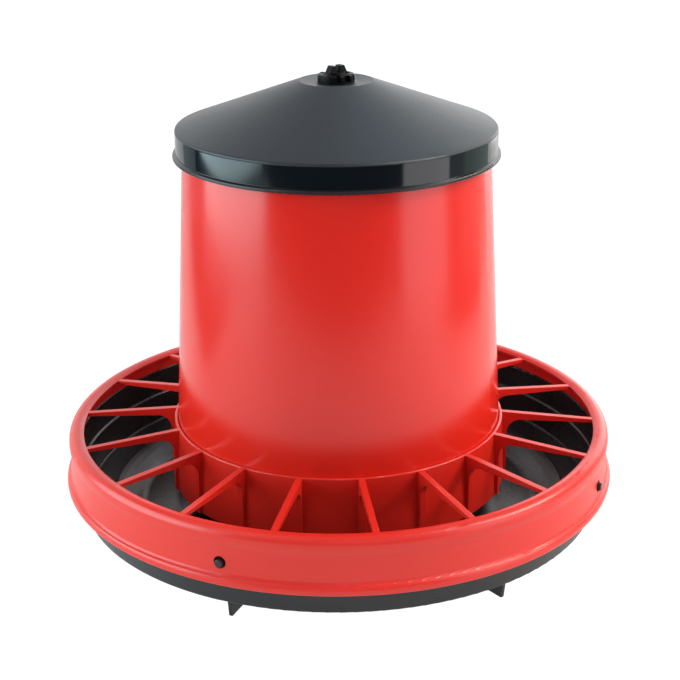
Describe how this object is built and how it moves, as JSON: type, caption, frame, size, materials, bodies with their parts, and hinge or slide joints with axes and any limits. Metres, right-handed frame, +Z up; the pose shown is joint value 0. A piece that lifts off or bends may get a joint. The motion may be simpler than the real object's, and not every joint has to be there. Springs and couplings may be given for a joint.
{
  "type": "poultry feeder",
  "caption": "Floor-standing poultry feeder: feed pan with a spoked anti-waste ring, tapered hopper, conical lid, and a tie rod closed by a wing nut.",
  "frame": {"origin": "on the floor, on the feeder's vertical axis, level with the undersides of the feet", "axes": "+Z up along the tie rod; the four snap pegs of the pan point along +X, +Y, -X and -Y"},
  "size_m": [0.42, 0.42, 0.3457],
  "materials": {
    "red_plastic": "satin moulded, saturated red",
    "hopper_plastic": "satin moulded, saturated red",
    "pan_plastic": "satin moulded, black",
    "lid_plastic": "glossy skirt, satin cone, black",
    "nut_plastic": "satin moulded, black",
    "zinc_steel": "bright zinc plating"
  },
  "bodies": {
    "feeder": {"pan": "pan_plastic", "guard_ring": "red_plastic", "hopper": "hopper_plastic", "lid": "lid_plastic", "tie_rod": "zinc_steel", "rod_washers": "zinc_steel", "rod_nuts": "zinc_steel"},
    "wing_nut": {"wing_nut": "nut_plastic"}
  },
  "joints": [
    {"name": "wing_nut_spin", "type": "hinge", "parent": "feeder", "child": "wing_nut", "pos_m": [0, 0, 0.3368], "axis": [0, 0, 1], "continuous": true}
  ]
}
